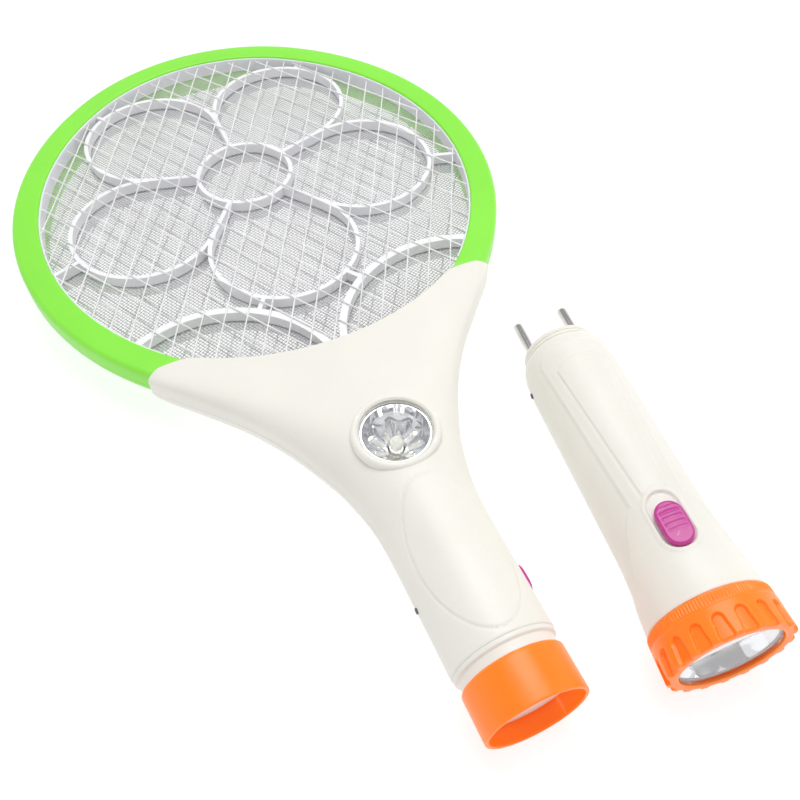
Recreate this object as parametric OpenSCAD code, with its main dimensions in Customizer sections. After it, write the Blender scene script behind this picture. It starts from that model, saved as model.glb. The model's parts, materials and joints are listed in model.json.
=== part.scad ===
// Electric fly swatter with a plug-in rechargeable torch.
// Millimetres. The racket lies face up with its handle along -Y and its
// head towards +Y; the torch lies on the table beside the handle.
// Racket modules are drawn about the middle of the head, on the mid-plane.
// Torch modules are drawn along +Z, from the plug end to the lens.

/* [Head] */
// Half the width of the mesh opening
head_half_width = 96; // [85:1:110]
// Half the length of the mesh opening
head_half_length = 109; // [95:1:125]
// Width of the rim seen from above
rim_width = 11.5; // [8:0.5:15]
// Half the thickness of the rim
rim_half_height = 8.2; // [6:0.2:10]
// Where the rim runs into the throat
rim_end_y = -86.4; // [-95:0.2:-75]

/* [Meshes] */
// Distance between the crossings along a coarse wire
coarse_step = 10.4; // [8:0.1:14]
// Angle of the coarse wires from the handle axis
coarse_angle = 29.5; // [20:0.5:45]
// How far the coarse meshes are turned off centre
coarse_turn = 2.4; // [0:0.2:5]
// Distance between the wires of the middle mesh
fine_step = 8; // [6:0.5:12]
// Width of a wire
wire = 1.0; // [0.6:0.1:1.6]

/* [Spacer flower] */
// Middle of the flower ahead of the middle of the head
flower_y = 16; // [0:1:25]
// Radius of the centre ring
flower_ring_r = 21.6; // [15:0.1:25]
// Radius of a petal
petal_r = 32; // [26:0.5:34]
// Distance from the middle of the flower to the middle of a petal
petal_reach = 55; // [50:0.5:60]
// Wall of the spacer ribs
rib = 1.9; // [1:0.1:2.5]
// Wall of the arcs over the throat
arc_rib = 3; // [2:0.1:4]
// Radius of the arcs over the throat
arc_r = 48.6; // [40:0.1:55]

/* [Handle] */
// Radius of the handle
handle_r = 18; // [16:0.1:21]
// Where the handle shells end
handle_end_y = -238.6; // [-250:0.2:-220]
// Mouth of the collar
mouth_y = -259.8; // [-270:0.2:-250]
// Outside radius of the collar
collar_r = 17.6; // [17:0.1:20]
// Wall of the shells
wall = 2.2; // [1.6:0.1:3]
// Middle of the lamp
lamp_y = -158; // [-170:1:-150]
// Outside radius of the lamp bezel
lamp_r = 16; // [14:0.5:18]

/* [Torch] */
// Radius of the torch body
torch_r = 17.9; // [17:0.1:20]
// Length of the torch body, shoulder to bezel
torch_length = 114; // [100:1:125]
// Length of the bezel
bezel_length = 15; // [13:0.5:22]
// Outside radius of the bezel
bezel_r = 21.4; // [20:0.1:24]
// Distance between the mains pins
pin_spacing = 18; // [17:0.1:20]
// Diameter of a mains pin
pin_d = 4; // [3.8:0.1:4.8]
// Length of the neck behind the pins
neck_h = 4.5; // [3:0.1:6]
// Length of a mains pin
pin_length = 19; // [15:0.5:20]

/* [Torch at rest] */
// Shoulder of the torch across the table
torch_x = 78; // [70:0.2:95]
// Shoulder of the torch along the table
torch_y = -141.8; // [-160:0.2:-120]
// Turn of the torch away from the handle
torch_heading = 7.5; // [0:0.1:15]
// Roll of the torch on the table
torch_roll = 9; // [0:1:20]

/* [Quality] */
// Segments of a full circle
$fn = 72; // [48:8:96]

/* [Hidden] */
eps = 0.01;
// Space between two mating shells.
seam_gap = 0.03;
// The frame sits under the middle of the whole object.
frame_y = 75.98;
grip_z = handle_r + seam_gap;
// The oval of the head is four tangent arcs.
// Their centres make a 3-4-5 triangle, so they meet at four fifths of the side radius.
side_c = 3 * (head_half_length - head_half_width) / 2;
end_c = 4 * (head_half_length - head_half_width) / 2;
side_r = head_half_width + side_c;
end_r = head_half_length - end_c;
// Middle of the arc on the +X side.
arc_at = [50.4, -112];
// Heights of the layers inside the head.
front_z = 5.3;
mesh_t = 0.9;
rib_low = 0.55;
rib_high = front_z - 0.05;
// Torch rest: the front of the bezel and the shoulder both touch the table.
torch_tilt = atan((bezel_r - torch_r) / (torch_length + bezel_length - 15.9));
torch_z = torch_r * cos(torch_tilt) - 15 * sin(torch_tilt) + 0.02;
// Underside of the circuit board.
board_z = 1.6;
// Middle of the recess for the torch slider.
recess_z = 87.4;
// Inside radius of the bezel.
bezel_bore = 18.8;
// Travel of the torch slider.
slider_travel = 4.4;
// Flutes round the bezel.
scallops = 18;
// Free depth of the bore behind the mouth.
socket_depth = 6.3;
ivory = [0.93, 0.91, 0.86];
lime = [0.42, 0.87, 0.16];
orange = [0.98, 0.5, 0.05];
magenta = [0.78, 0.13, 0.55];
steel = [0.78, 0.79, 0.8];
brass = [0.83, 0.68, 0.32];
white = [0.93, 0.93, 0.96];
board_green = [0.1, 0.38, 0.2];
chrome = [0.86, 0.87, 0.9];
dark = [0.16, 0.16, 0.17];

module on_racket() { translate([0, frame_y, grip_z]) children(); }

module on_torch() {
    translate([torch_x, torch_y + frame_y, torch_z]) rotate([0, 0, -torch_heading])
        rotate([-torch_tilt, 0, 0]) rotate([90, 0, 0]) rotate([0, 0, torch_roll]) children();
}

// ---- Oval of the head ----

// The filled oval, grown by g.
module oval(g) {
    ra = side_r + g;
    rb = end_r + g;
    intersection() {
        translate([-side_c, 0]) circle(ra);
        translate([side_c, 0]) circle(ra);
        square([4 * ra, 1.6 * ra], center = true);
    }
    for (s = [-1, 1]) intersection() {
        translate([0, s * end_c]) circle(rb);
        translate([0, s * (0.8 * ra + rb)]) square([4 * rb, 2 * rb], center = true);
    }
}

module above(y) { translate([-200, y, -30]) cube([400, 400, 60]); }

// Half of the rim, h thick, with its outer edge rounded off by r in steps.
module rim_half(h, r, steps, tongue_h) {
    difference() {
        union() {
            intersection() {
                union() {
                    linear_extrude(h - r) oval(rim_width);
                    for (k = [0:steps - 1]) {
                        z = h - r + r * sin(90 * k / steps);
                        top = h - r + r * sin(90 * (k + 1) / steps);
                        translate([0, 0, z - eps]) linear_extrude(top - z + eps)
                            oval(rim_width - r * (1 - cos(90 * (k + 0.5) / steps)));
                    }
                }
                above(rim_end_y);
            }
            // the tongue that the throat shells clamp
            intersection() {
                linear_extrude(tongue_h) oval(rim_width - 2.4);
                above(rim_end_y - 9);
                mirror([0, 1, 0]) above(-rim_end_y - 1);
            }
        }
        translate([0, 0, -1]) linear_extrude(h + 2) oval(0);
        // the seat that the meshes and spacer sit in
        translate([0, 0, -1]) linear_extrude(front_z + mesh_t + 1.02) oval(5);
        rim_screw_holes(h);
    }
}

rim_screw_angles = [20, 65, 115, 160, -25, -155];
module at_rim_screws() {
    for (a = rim_screw_angles) {
        on_end = abs(sin(a)) > 0.8;
        c = on_end ? [0, sign(sin(a)) * end_c] : [-sign(cos(a)) * side_c, 0];
        r = (on_end ? end_r : side_r) + 7.6;
        translate([c[0] + r * cos(a), c[1] + r * sin(a), 0]) children();
    }
}
module rim_screw_holes(h) { at_rim_screws() translate([0, 0, -1]) cylinder(h = 6, r = 0.9, $fn = 24); }

module rim_front() { color(lime) on_racket() rim_half(rim_half_height, 2.2, 2, 5.6); }

module rim_rear() {
    color(lime) on_racket() difference() {
        mirror([0, 0, 1]) rim_half(rim_half_height, 7.4, 5, 3.4);
        at_rim_screws() mirror([0, 0, 1]) {
            cylinder(h = 10, r = 1.15, $fn = 24);
            translate([0, 0, 3.35]) cylinder(h = 6, r = 2.1, $fn = 24);
        }
    }
}

module rim_screws() {
    color(steel) on_racket() at_rim_screws() {
        translate([0, 0, -3.5]) cylinder(h = 7.9, r = 0.85, $fn = 24);
        translate([0, 0, -4.9]) difference() {
            cylinder(h = 1.5, r = 1.9, $fn = 24);
            for (a = [0, 90]) rotate([0, 0, a]) translate([-1.2, -0.25, -0.5]) cube([2.4, 0.5, 1.2]);
        }
    }
}

// ---- Meshes ----

module strips(angle, step) {
    n = ceil(head_half_length * 1.15 / step);
    for (k = [-n:n]) rotate([0, 0, angle]) translate([-150, k * step - wire / 2]) square([300, wire]);
}

module mesh_area(g) {
    intersection() {
        oval(g);
        translate([-200, -110.5]) square([400, 400]);
    }
}

module coarse_mesh(turn) {
    step = coarse_step * sin(2 * coarse_angle);
    linear_extrude(mesh_t) union() {
        intersection() {
            mesh_area(4.4);
            union() {
                strips(90 + turn + coarse_angle, step);
                strips(90 + turn - coarse_angle, step);
            }
        }
        // a flat edge wire all round
        difference() {
            mesh_area(4.4);
            offset_area(3.2);
        }
    }
}

module offset_area(g) {
    intersection() {
        oval(g);
        translate([-200, -109.3]) square([400, 400]);
    }
}

module front_mesh() { color(steel) on_racket() translate([0, 0, front_z]) coarse_mesh(coarse_turn); }

module rear_mesh() {
    color(steel) on_racket() translate([0, 0, -front_z - mesh_t]) coarse_mesh(-coarse_turn);
}

module middle_mesh() {
    color(steel) on_racket() translate([0, 0, -mesh_t / 2]) linear_extrude(mesh_t) union() {
        intersection() {
            mesh_area(4.4);
            union() {
                strips(12, fine_step);
                strips(102, fine_step);
            }
        }
        difference() {
            mesh_area(4.4);
            offset_area(3.2);
        }
    }
}

// ---- Spacers ----

module ring2d(r, w) {
    difference() {
        circle(r + w / 2);
        circle(r - w / 2);
    }
}

module flower2d() {
    // neighbouring petals meet at this distance from the middle of the flower
    meet = petal_reach * cos(36);
    translate([0, flower_y]) {
        ring2d(flower_ring_r, rib);
        difference() {
            for (k = [0:4]) rotate([0, 0, 54 + 72 * k]) translate([petal_reach, 0]) ring2d(petal_r, rib);
            circle(meet);
        }
        for (k = [0:4]) rotate([0, 0, 18 + 72 * k]) translate([flower_ring_r, -rib / 2])
            square([meet - flower_ring_r + 1, rib]);
        // webs from the petals to the outer ring
        for (a = [-18, 54, 126, 198]) rotate([0, 0, a])
            translate([petal_reach + petal_r - 0.3, -rib / 2]) square([22, rib]);
    }
    // arcs over the throat, each with a web to the nearest petal
    for (s = [-1, 1]) {
        translate([s * arc_at[0], arc_at[1]]) ring2d(arc_r, arc_rib);
        translate([s * 20.5, flower_y - 84.7]) rotate([0, 0, -s * 55.4]) square([9, rib], center = true);
    }
    translate([-4, -104.6]) square([8, rib]);
}

module spacer() {
    translate([0, 0, rib_low]) linear_extrude(rib_high - rib_low) intersection() {
        union() {
            flower2d();
            difference() {
                oval(3.6);
                oval(0.7);
            }
        }
        oval(3.6);
        translate([-200, -109]) square([400, 400]);
    }
}

module front_spacer() { color(white) on_racket() spacer(); }
module rear_spacer() { color(white) on_racket() mirror([0, 0, 1]) spacer(); }

// ---- Throat and handle shells ----

// Stations along the handle: distance, half width, half thickness, squareness.
stations = [
    [-84.5, 75.4, 9.3, 9.0], [-92.5, 70.6, 9.6, 8.0], [-105.5, 58.8, 10.8, 6.0],
    [-122.0, 44.8, 13.0, 4.2], [-139.5, 33.8, 15.8, 3.2], [-158.0, 25.3, 17.3, 2.6],
    [-167.5, 22.2, 17.7, 2.35], [-180.0, 19.4, 17.9, 2.15], [-196.0, 18.3, 17.98, 2.0],
    [handle_end_y - 0.001, handle_r, handle_r, 2.0]];

function mix(a, b, t) = a + (b - a) * t;
// Smooth curve through the stations.
function smooth(p0, p1, p2, p3, t) = 0.5 * ((2 * p1) + (p2 - p0) * t
    + (2 * p0 - 5 * p1 + 4 * p2 - p3) * t * t + (3 * p1 - p0 - 3 * p2 + p3) * t * t * t);
function at_station(i) = stations[max(0, min(len(stations) - 1, i))];
function path(steps) = [for (i = [0:len(stations) - 2]) for (k = [0:steps - 1])
    smooth(at_station(i - 1), at_station(i), at_station(i + 1), at_station(i + 2), k / steps)];
function spow(c, n) = sign(c) * pow(abs(c), 2 / n);
// The rear half is fully rounded: its corners are as round as it is deep.
function half_section(s, inset, count, rear) =
    let (side = rear ? 2 * s[1] / s[2] : s[3], top = rear ? 2 : s[3])
    concat([[s[1] - inset, s[0], -eps]],
        [for (k = [0:count]) [(s[1] - inset) * spow(cos(180 * k / count), side), s[0],
            (s[2] - inset) * spow(sin(180 * k / count), top)]],
        [[inset - s[1], s[0], -eps]]);

// Closed loft of one half of the handle, shrunk by inset and drawn above the seam.
module half_loft(inset, from_y, to_y, rear) {
    count = 22;
    line = path(3);
    first = concat([from_y], [for (j = [1:3]) line[0][j]]);
    last = concat([to_y], [for (j = [1:3]) at_station(99)[j]]);
    rows = concat([first], [for (k = [1:len(line) - 1]) line[k]], [last]);
    n = count + 3;
    pts = [for (r = rows) each half_section(r, inset, count, rear)];
    m = len(rows);
    side = [for (i = [0:m - 2]) for (k = [0:n - 1])
        each [[i * n + k, (i + 1) * n + k, (i + 1) * n + (k + 1) % n],
              [i * n + k, (i + 1) * n + (k + 1) % n, i * n + (k + 1) % n]]];
    polyhedron(pts, concat(side, [[for (k = [0:n - 1]) k], [for (k = [n - 1:-1:0]) (m - 1) * n + k]]));
}

// The throat's edge over the mesh is an arc, wide of the middle.
edge_r = 101;
edge_y = -2.3;
// Everything ahead of the throat's edge over the mesh.
module mesh_opening(grow) {
    translate([0, 0, -30]) linear_extrude(60) {
        translate([0, edge_y]) circle(edge_r - grow);
        translate([-200, rim_end_y + grow]) square([400, 300]);
    }
}

module half_shell(rear) {
    difference() {
        half_loft(0, -84.5, handle_end_y, rear);
        half_loft(wall, -84, handle_end_y - 1, rear);
        mesh_opening(0);
    }
    // lip down to the mesh along the opening
    intersection() {
        half_loft(0.4, -84.5, handle_end_y, rear);
        difference() {
            translate([0, 0, front_z + mesh_t + 0.05]) linear_extrude(9) translate([0, edge_y])
                circle(edge_r + 1.6);
            mesh_opening(0);
        }
    }
}

boss_at = [[24, -122], [-24, -122], [0, -184], [0, -228.6]];
module front_shell() {
    color(ivory) on_racket() {
        difference() {
            translate([0, 0, seam_gap]) half_shell(false);
            translate([0, lamp_y, 5]) cylinder(h = 20, r = lamp_r - 1.6);
            translate([0, lamp_y, 15.4]) cylinder(h = 20, r = lamp_r + 0.1);
            button_slot();
            side_screw_hole();
        }
        for (b = boss_at) translate([b[0], b[1], 0.05]) difference() {
            cylinder(h = b[1] > -150 ? 12 : 16.6, r = 3, $fn = 32);
            translate([0, 0, -1]) cylinder(h = 9, r = 1.1, $fn = 24);
        }
    }
}

module rear_shell() {
    color(ivory) on_racket() difference() {
        union() {
            mirror([0, 0, 1]) translate([0, 0, seam_gap]) half_shell(true);
            for (b = boss_at) translate([b[0], b[1], b[1] > -150 ? -12 : -16.6])
                cylinder(h = b[1] > -150 ? 12 : 16.6, r = 3.6, $fn = 32);
        }
        for (b = boss_at) translate([b[0], b[1], -25]) {
            cylinder(h = 26, r = 1.35, $fn = 24);
            cylinder(h = 19.12, r = 2.5, $fn = 24);
        }
        button_slot();
        side_screw_hole();
    }
}

module shell_screws() {
    color(steel) on_racket() for (b = boss_at) translate([b[0], b[1], -5.95]) {
        cylinder(h = 12.5, r = 1.05, $fn = 24);
        translate([0, 0, -2]) difference() {
            cylinder(h = 2.05, r = 2.3, $fn = 24);
            for (a = [0, 90]) rotate([0, 0, a]) translate([-1.5, -0.3, -1]) cube([3, 0.6, 1.7]);
        }
    }
}

// ---- Lamp in the throat ----

module lamp_bezel() {
    color(ivory) on_racket() translate([0, lamp_y, 0]) rotate_extrude() difference() {
        union() {
            translate([12.6, 12]) square([1.6, 6.6]);
            translate([12.6, 15.45]) square([lamp_r - 12.6 - 0.9, 3.15]);
            translate([12.6, 15.45]) square([lamp_r - 12.6, 2.25]);
            translate([lamp_r - 0.9, 17.7]) circle(0.9, $fn = 32);
        }
        translate([0, 16.9]) square([13.3, 1.05]);
    }
}

module lamp_reflector() {
    color(chrome) on_racket() translate([0, lamp_y, 0]) rotate_extrude() difference() {
        polygon([[2.9, 5.2], [4.4, 5.2], [12.45, 15.6], [12.45, 16.4], [2.9, 7.0]]);
        polygon([[2.8, 6.4], [3.6, 6.4], [11.6, 16.5], [2.8, 16.5]]);
    }
}

module lamp_led() {
    color([0.95, 0.93, 0.85]) on_racket() translate([0, lamp_y, 0]) {
        translate([0, 0, 3.3]) cylinder(h = 1.2, r = 2.9, $fn = 32);
        translate([0, 0, 4.4]) cylinder(h = 5.6, r = 2.5, $fn = 32);
        translate([0, 0, 10]) sphere(2.5, $fn = 32);
    }
}

module lamp_lens() {
    color([0.9, 0.94, 0.97, 0.4]) on_racket() translate([0, lamp_y, 16.95])
        cylinder(h = 0.95, r = 13.2);
}

// ---- Electronics in the handle ----

module circuit_board() {
    color(board_green) on_racket() difference() {
        union() {
            translate([-13, -178.5, board_z]) cube([26, 64, 1.6]);
            translate([-13, -224.4, board_z]) cube([18.5, 17.5, 1.6]);
            translate([-13, -207, board_z]) cube([26, 18.5, 1.6]);
            translate([4.2, -190, board_z]) cube([8.8, 12.5, 1.6]);
        }
        for (b = [[-10, -118], [10, -118]]) translate([b[0], b[1], 0]) cylinder(h = 6, r = 1.2, $fn = 24);
    }
}

module step_up_transformer() {
    on_racket() translate([-4, -206, board_z + 1.6]) {
        color(dark) translate([-6, -6.5, 0.02]) cube([12, 13, 1.6]);
        color(brass) translate([0, 0, 1.6]) cylinder(h = 5.4, r = 4.4, $fn = 32);
        color(dark) translate([-6, -6.5, 6.9]) cube([12, 13, 1.6]);
    }
}

module storage_capacitor() {
    color([0.72, 0.2, 0.12]) on_racket() translate([0, -141, board_z - 0.02]) mirror([0, 0, 1]) {
        translate([-11, -6, 0]) cube([22, 12, 0.6]);
        translate([-10, -5, 0.5]) cube([20, 10, 8]);
    }
}

module diode_ladder() {
    color(dark) on_racket() for (k = [0:3]) translate([-8 + 5.2 * k, -126, board_z + 1.6]) {
        translate([0, 0, 1.35]) rotate([90, 0, 0]) cylinder(h = 5, r = 1.3, $fn = 24);
        for (s = [1.2, -6.2]) translate([-0.4, s - 0.4, 0]) cube([0.8, 0.8, 1.5]);
        translate([-0.4, -6.3, 1]) cube([0.8, 8, 0.7]);
    }
}

// Brass strips from the board, round the edges of the meshes.
module mesh_contacts() {
    over = front_z + mesh_t + 0.02;
    color(brass) on_racket() {
        translate([-9, -118, board_z + 1.62]) cube([3, 6, 0.5]);
        translate([-9, -112.5, board_z + 1.62]) cube([3, 0.5, over - board_z - 1.2]);
        translate([-9, -112.5, over]) cube([3, 5.5, 0.5]);
        translate([6, -118, board_z - 0.5]) cube([3, 9, 0.5]);
        translate([6, -109.6, mesh_t / 2 + 0.02]) cube([3, 1.2, board_z - mesh_t / 2 - 0.02]);
        translate([-5, -118, board_z - 0.5]) cube([2.4, 6, 0.5]);
        translate([-5, -112.5, -over - 0.5]) cube([2.4, 0.5, over + 0.5 + board_z]);
        translate([-5, -112.5, -over - 0.5]) cube([2.4, 5.5, 0.5]);
    }
}

// ---- Button on the side of the handle ----

button_at = [0, -218.5, -0.4];
button_len = 11;
module button_slot() {
    translate(button_at) translate([10, 0, 0]) pill(button_len + 0.7, 8.7, 15);
}

module pill(length, height, depth) {
    rotate([0, 90, 0]) linear_extrude(depth) {
        square([height, length - height], center = true);
        for (s = [-1, 1]) translate([0, s * (length - height) / 2]) circle(height / 2);
    }
}

module zap_button() {
    color(magenta) on_racket() translate(button_at) difference() {
        union() {
            translate([14.9, 0, 0]) pill(button_len, 8, 4.7);
            translate([12.9, -button_len / 2 - 1.2, -4.6]) cube([1.7, button_len + 2.4, 9.2]);
            translate([14.5, 0, 0]) pill(button_len, 8, 0.5);
        }
        for (k = [-2:2]) translate([19.5, k * 1.8, -5]) cylinder(h = 10, r = 0.4, $fn = 24);
    }
}

module zap_switch() {
    color(dark) on_racket() translate(button_at) {
        translate([3.7, -4, 3.6]) cube([6.6, 8, 2.6]);
        translate([6, -2, -0.5]) cube([4.2, 4, 4.4]);
    }
}

module side_screw_hole() {
    translate([-25, -214, 0]) rotate([0, 90, 0]) cylinder(h = 12, r = 1.1, $fn = 24);
}

module handle_side_screw() {
    color(dark) on_racket() translate([-18.6, -214, 0]) rotate([0, 90, 0]) difference() {
        cylinder(h = 5, r = 1.05, $fn = 24);
        for (a = [0, 90]) rotate([0, 0, a]) translate([-0.7, -0.15, -0.5]) cube([1.4, 0.3, 1]);
    }
}

// ---- Socket end ----

module tube_y(y0, y1, r_out, r_in) {
    translate([0, y1, 0]) rotate([-90, 0, 0]) difference() {
        cylinder(h = y0 - y1, r = r_out);
        translate([0, 0, -1]) cylinder(h = y0 - y1 + 2, r = r_in);
    }
}

module neck_ring() {
    color(ivory) on_racket() {
        tube_y(handle_end_y + 6, handle_end_y, handle_r - wall - 0.12, 13);
        tube_y(handle_end_y, handle_end_y - 1.4, handle_r - 0.3, 13);
        tube_y(handle_end_y - 1.3, handle_end_y - 5, 16.6, 13);
        tube_y(handle_end_y - 4.9, mouth_y + socket_depth, 15.9, 14.6);
    }
}

module socket_plate() {
    color(ivory) on_racket() translate([0, mouth_y + 8.5, 0]) rotate([90, 0, 0]) difference() {
        cylinder(h = 8.4 - socket_depth, r = 14.55);
        for (s = [-1, 1]) translate([s * pin_spacing / 2, 0, -1])
            cylinder(h = 5, r = pin_d / 2 + 0.4, $fn = 48);
    }
}

module contact_sleeves() {
    color(brass) on_racket() for (s = [-1, 1])
        translate([s * pin_spacing / 2, mouth_y + 24.5, 0]) rotate([90, 0, 0]) difference() {
            cylinder(h = 15.9, r = pin_d / 2 + 0.75, $fn = 48);
            translate([0, 0, -1]) cylinder(h = 20, r = pin_d / 2 + 0.05, $fn = 48);
            // spring slot
            translate([-0.3, 0, 3]) cube([0.6, 5, 20]);
        }
}

module collar() {
    color(orange) on_racket() translate([0, mouth_y, 0]) rotate([-90, 0, 0]) rotate_extrude() {
        length = handle_end_y - 5 - mouth_y;
        difference() {
            union() {
                translate([15.6, 0.9]) square([collar_r - 15.6, length - 2.1]);
                translate([15.6, 0]) square([collar_r - 0.9 - 15.6, length]);
                translate([collar_r - 0.9, 0.9]) circle(0.9, $fn = 32);
                translate([collar_r - 1.2, length - 1.2]) circle(1.2, $fn = 32);
            }
            translate([0, -1]) square([16.2, socket_depth + 1]);
            translate([0, -1]) square([15.95, length + 2]);
        }
    }
}

// ---- Torch ----

// Outline of half the torch body from the shoulder to the bezel.
function body_line(inset) = [
    [14.9 - inset, 0], [15.9 - inset, 1], [16.7 - inset, 2.6], [17.3 - inset, 5],
    [17.7 - inset, 9], [torch_r - inset, 15], [torch_r - inset, 84], [18.1 - inset, 91],
    [18.6 - inset, 98], [19.3 - inset, 106], [20.2 - inset, torch_length]];

module body_solid(inset) {
    rotate_extrude() polygon(concat([[0, inset == 0 ? 0 : 2.4]],
        [for (p = body_line(inset)) [p[0], inset == 0 ? p[1] : max(p[1], 2.4)]],
        [[20.2 - inset, torch_length + (inset == 0 ? 0 : 1)], [0, torch_length + (inset == 0 ? 0 : 1)]]));
}

module slot2d(length, width) {
    square([width, length - width], center = true);
    for (s = [-1, 1]) translate([0, s * (length - width) / 2]) circle(width / 2);
}

module panel2d() {
    polygon([[-8.6, 22], [8.6, 22], [6, 76], [-6, 76]]);
    intersection() {
        translate([0, 26]) circle(13);
        translate([-8.6, 10]) square([17.2, 12.1]);
    }
}

module torch_half(up) {
    difference() {
        union() {
            difference() {
                body_solid(0);
                body_solid(2);
            }
            // raised grip panel with an arched end
            if (up) intersection() {
                rotate_extrude() polygon([[16, 12], [torch_r + 0.1, 13], [torch_r + 0.6, 14.5],
                    [torch_r + 0.6, 74], [torch_r + 0.1, 76], [16, 76]]);
                rotate([-90, 0, 0]) linear_extrude(40) mirror([0, 1]) panel2d();
            }
            // spigot that the bezel turns on
            rotate_extrude() polygon([[16.9, 110.5], [bezel_bore - 0.08, 110.5],
                [bezel_bore - 0.08, 119], [bezel_bore - 0.6, 119.5], [16.9, 119.5]]);
            // rim of the switch recess
            if (up) intersection() {
                translate([0, 15.4, recess_z]) rotate([-90, 0, 0]) linear_extrude(4.6) difference() {
                    slot2d(23.5, 13.5);
                    slot2d(21, 11);
                }
                rotate_extrude() translate([16, 70]) square([5, 34]);
            }
        }
        translate([-60, up ? seam_gap - 60 : -seam_gap, -5]) cube([120, 60, torch_length + 20]);
        translate([0, 10, recess_z]) rotate([-90, 0, 0]) linear_extrude(12) slot2d(16, 7);
        translate([0, torch_r - 0.6, recess_z]) rotate([-90, 0, 0]) linear_extrude(12) slot2d(21, 11);
        translate([0, 0, -1]) cylinder(h = 6, r = 12.2);
        translate([-30, 0, 12.6]) rotate([0, 90, 0]) cylinder(h = 18, r = 1.12, $fn = 24);
    }
}

module torch_front_shell() { color(ivory) on_torch() torch_half(true); }
module torch_rear_shell() { color(ivory) on_torch() torch_half(false); }

module plug_cap() {
    color(ivory) on_torch() difference() {
        rotate_extrude() polygon([[0, -neck_h], [12.6, -neck_h], [13.6, -neck_h + 0.4],
            [14.1, -neck_h + 1.4], [14.1, -2.2], [13.7, -2.1], [13.7, -1.7], [14.3, -1.6],
            [14.3, -0.5], [13.9, -0.4], [13.9, -0.02], [12.1, -0.02], [12.1, 6], [0, 6]]);
        for (s = [-1, 1]) translate([s * pin_spacing / 2, 0, -neck_h - 1])
            cylinder(h = 13, r = pin_d / 2 - 0.28, $fn = 48);
        translate([0, 0, -neck_h + 2.2]) cylinder(h = 20, r = 6.4);
    }
}

module plug_pins() {
    color(chrome) on_torch() for (s = [-1, 1]) translate([s * pin_spacing / 2, 0, -neck_h]) {
        rotate_extrude($fn = 48) {
            translate([0, pin_d / 2 - pin_length]) square([pin_d / 2, pin_length - pin_d / 2]);
            intersection() {
                translate([0, pin_d / 2 - pin_length]) circle(pin_d / 2);
                translate([0, -pin_length]) square([pin_d, pin_d / 2 + eps]);
            }
        }
        translate([0, 0, -eps]) cylinder(h = 14, r = pin_d / 2 - 0.3, $fn = 48);
    }
}

module torch_battery() {
    color([0.2, 0.35, 0.6]) on_torch() translate([0, -6.6, 26]) {
        cylinder(h = 46, r = 7.1);
        translate([0, 0, 45.9]) cylinder(h = 1.4, r = 3, $fn = 32);
    }
}

module charge_board() {
    on_torch() {
        color(board_green) translate([-12.5, 4.4, 12]) cube([25, 1.6, 71]);
        color(dark) for (k = [0:3]) translate([-9 + 5.6 * k, 5.95, 24]) {
            cube([3, 2.4, 7]);
        }
        color([0.1, 0.2, 0.5]) translate([-5, 5.95, 44]) cube([10, 6, 12]);
    }
}

module torch_switch() {
    color(dark) on_torch() translate([-4.5, 6.02, recess_z - 9]) cube([9, torch_r - 8.2 - 6.02, 7.8]);
}

module torch_slider() {
    color(magenta) on_torch() translate([0, 0, recess_z + slider_travel / 2]) {
        difference() {
            translate([0, torch_r - 0.3, 0]) rotate([-90, 0, 0]) linear_extrude(2.6) slot2d(16, 9.4);
            for (k = [-2:2]) translate([-6, torch_r + 2.5, 2.2 * k]) rotate([0, 90, 0])
                cylinder(h = 12, r = 0.5, $fn = 24);
        }
        translate([-2.6, torch_r - 5.6, -4.4]) cube([5.2, 5.4, 8.8]);
        translate([-1.4, torch_r - 7.9, -9.6]) cube([2.8, 2.4, 8]);
    }
}

// ---- Lamp end of the torch ----

module torch_reflector() {
    color(chrome) on_torch() rotate_extrude() difference() {
        polygon([[2.4, 107.5], [6, 107.5], [18.4, 122.9], [18.4, 124.2], [2.4, 124.2]]);
        polygon([[2.3, 108.9], [5.4, 108.9], [17.2, 124.3], [2.3, 124.3]]);
    }
}

module torch_led_board() {
    color(board_green) on_torch() translate([0, 0, 105.8]) cylinder(h = 1.65, r = 8.5);
}

module torch_leds() {
    color([0.95, 0.93, 0.85]) on_torch() {
        translate([0, 0, 107.52]) cylinder(h = 1.3, r = 2.25, $fn = 32);
        translate([0, 0, 108.6]) cylinder(h = 5, r = 1.9, $fn = 32);
        translate([0, 0, 113.6]) sphere(1.9, $fn = 32);
    }
}

module lens_gasket() {
    color(white) on_torch() translate([0, 0, 124.25]) difference() {
        cylinder(h = 0.8, r = 18.6);
        translate([0, 0, -1]) cylinder(h = 3, r = 17.1);
    }
}

module torch_lens() {
    color([0.9, 0.94, 0.97, 0.4]) on_torch() translate([0, 0, 125.1]) {
        cylinder(h = 1.6, r = 18.6);
        cylinder(h = 3.2, r = 17.15);
    }
}

module torch_bezel() {
    bezel_front = torch_length + bezel_length;
    color(orange) on_torch() difference() {
        rotate_extrude() polygon([[bezel_bore, torch_length + 0.15], [bezel_r - 0.6, torch_length + 0.15],
            [bezel_r - 0.5, torch_length + 4], [bezel_r, bezel_front - 0.9], [bezel_r - 0.3, bezel_front],
            [17.3, bezel_front], [17.3, 126.9], [bezel_bore, 126.9]]);
        // arched flutes that run out at the front
        for (k = [0:scallops - 1]) rotate([0, 0, 360 * (k + 0.5) / scallops]) {
            translate([bezel_r + 1.1, 0, torch_length + 7.5]) cylinder(h = 20, r = 2.5, $fn = 32);
            translate([bezel_r + 1.1, 0, torch_length + 7.5]) sphere(2.5, $fn = 32);
        }
    }
}

module torch_side_screw() {
    color(dark) on_torch() translate([0.05 - torch_r, 0, 12.6]) rotate([0, 90, 0]) difference() {
        cylinder(h = 5, r = 1.05, $fn = 24);
        for (a = [0, 90]) rotate([0, 0, a]) translate([-0.7, -0.15, -0.5]) cube([1.4, 0.3, 1]);
    }
}

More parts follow.
